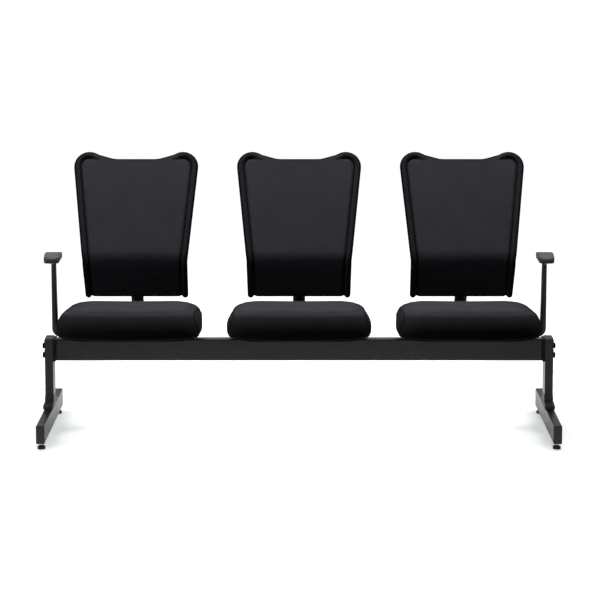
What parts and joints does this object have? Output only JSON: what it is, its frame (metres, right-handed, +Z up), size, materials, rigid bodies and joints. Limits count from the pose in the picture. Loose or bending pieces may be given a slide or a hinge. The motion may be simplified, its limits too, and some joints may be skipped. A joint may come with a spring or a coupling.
{
  "type": "beam seating",
  "caption": "Public seating: upholstered seats with tall fabric backs and end arms, on a steel beam between legs with levelling glides.",
  "frame": {"origin": "on the floor, below the middle of the seating: half way along the beam, and half way between the front ends of the feet and the rear of the backs, 18.3 mm ahead of the beam's own middle plane", "axes": "+X along the beam, to the right as seen from the front; +Y to the rear; +Z up; the seats face -Y"},
  "size_m": [1.839, 0.6873, 0.9717],
  "materials": {
    "frame_paint": "satin",
    "matt_paint": "matt",
    "black_plastic": "satin",
    "black_bolts": "satin",
    "plated_steel": "satin",
    "glide_plastic": "satin",
    "arm_paint": "satin",
    "pad_skin": "soft satin",
    "pan_wood": "plain birch plywood",
    "seat_fabric": "tight woven cover",
    "tube_steel": "satin",
    "back_fabric": "stretched knit sleeve"
  },
  "bodies": {
    "seating": {"beam": "frame_paint", "column_left": "frame_paint", "column_right": "frame_paint", "foot_left": "frame_paint", "foot_right": "frame_paint", "end_plate_left": "matt_paint", "end_plate_right": "matt_paint", "column_caps": "black_plastic", "foot_caps": "black_plastic", "collar_left": "black_plastic", "collar_right": "black_plastic", "leg_bolts": "black_bolts", "back_bolts": "black_bolts", "leg_spacers": "plated_steel", "glide_inserts": "plated_steel", "glide_locknuts": "plated_steel", "beam_inserts": "plated_steel", "bracket_bolts": "plated_steel", "seat_screws": "plated_steel", "arm_bolts": "plated_steel", "arm_pad_screws": "plated_steel", "arm_left": "arm_paint", "arm_right": "arm_paint", "arm_pad_left": "pad_skin", "arm_pad_right": "pad_skin", "bracket_left": "frame_paint", "j_bar_left": "frame_paint", "pan_left": "pan_wood", "cushion_left": "seat_fabric", "back_tube_left_l": "tube_steel", "back_tube_left_r": "tube_steel", "lumbar_plate_left": "tube_steel", "crossbar_left": "tube_steel", "tube_plugs_left": "black_plastic", "sleeve_left": "back_fabric", "bracket_middle": "frame_paint", "j_bar_middle": "frame_paint", "pan_middle": "pan_wood", "cushion_middle": "seat_fabric", "back_tube_middle_l": "tube_steel", "back_tube_middle_r": "tube_steel", "lumbar_plate_middle": "tube_steel", "crossbar_middle": "tube_steel", "tube_plugs_middle": "black_plastic", "sleeve_middle": "back_fabric", "bracket_right": "frame_paint", "j_bar_right": "frame_paint", "pan_right": "pan_wood", "cushion_right": "seat_fabric", "back_tube_right_l": "tube_steel", "back_tube_right_r": "tube_steel", "lumbar_plate_right": "tube_steel", "crossbar_right": "tube_steel", "tube_plugs_right": "black_plastic", "sleeve_right": "back_fabric"},
    "glide_front_left": {"glide_front_left": "glide_plastic"},
    "glide_front_right": {"glide_front_right": "glide_plastic"},
    "glide_rear_left": {"glide_rear_left": "glide_plastic"},
    "glide_rear_right": {"glide_rear_right": "glide_plastic"}
  },
  "joints": [
    {"name": "level_front_left", "type": "slide", "parent": "seating", "child": "glide_front_left", "axis": [0, 0, 1], "range_m": [-0.01, 0]},
    {"name": "level_front_right", "type": "slide", "parent": "seating", "child": "glide_front_right", "axis": [0, 0, 1], "range_m": [-0.01, 0]},
    {"name": "level_rear_left", "type": "slide", "parent": "seating", "child": "glide_rear_left", "axis": [0, 0, 1], "range_m": [-0.01, 0]},
    {"name": "level_rear_right", "type": "slide", "parent": "seating", "child": "glide_rear_right", "axis": [0, 0, 1], "range_m": [-0.01, 0]}
  ]
}
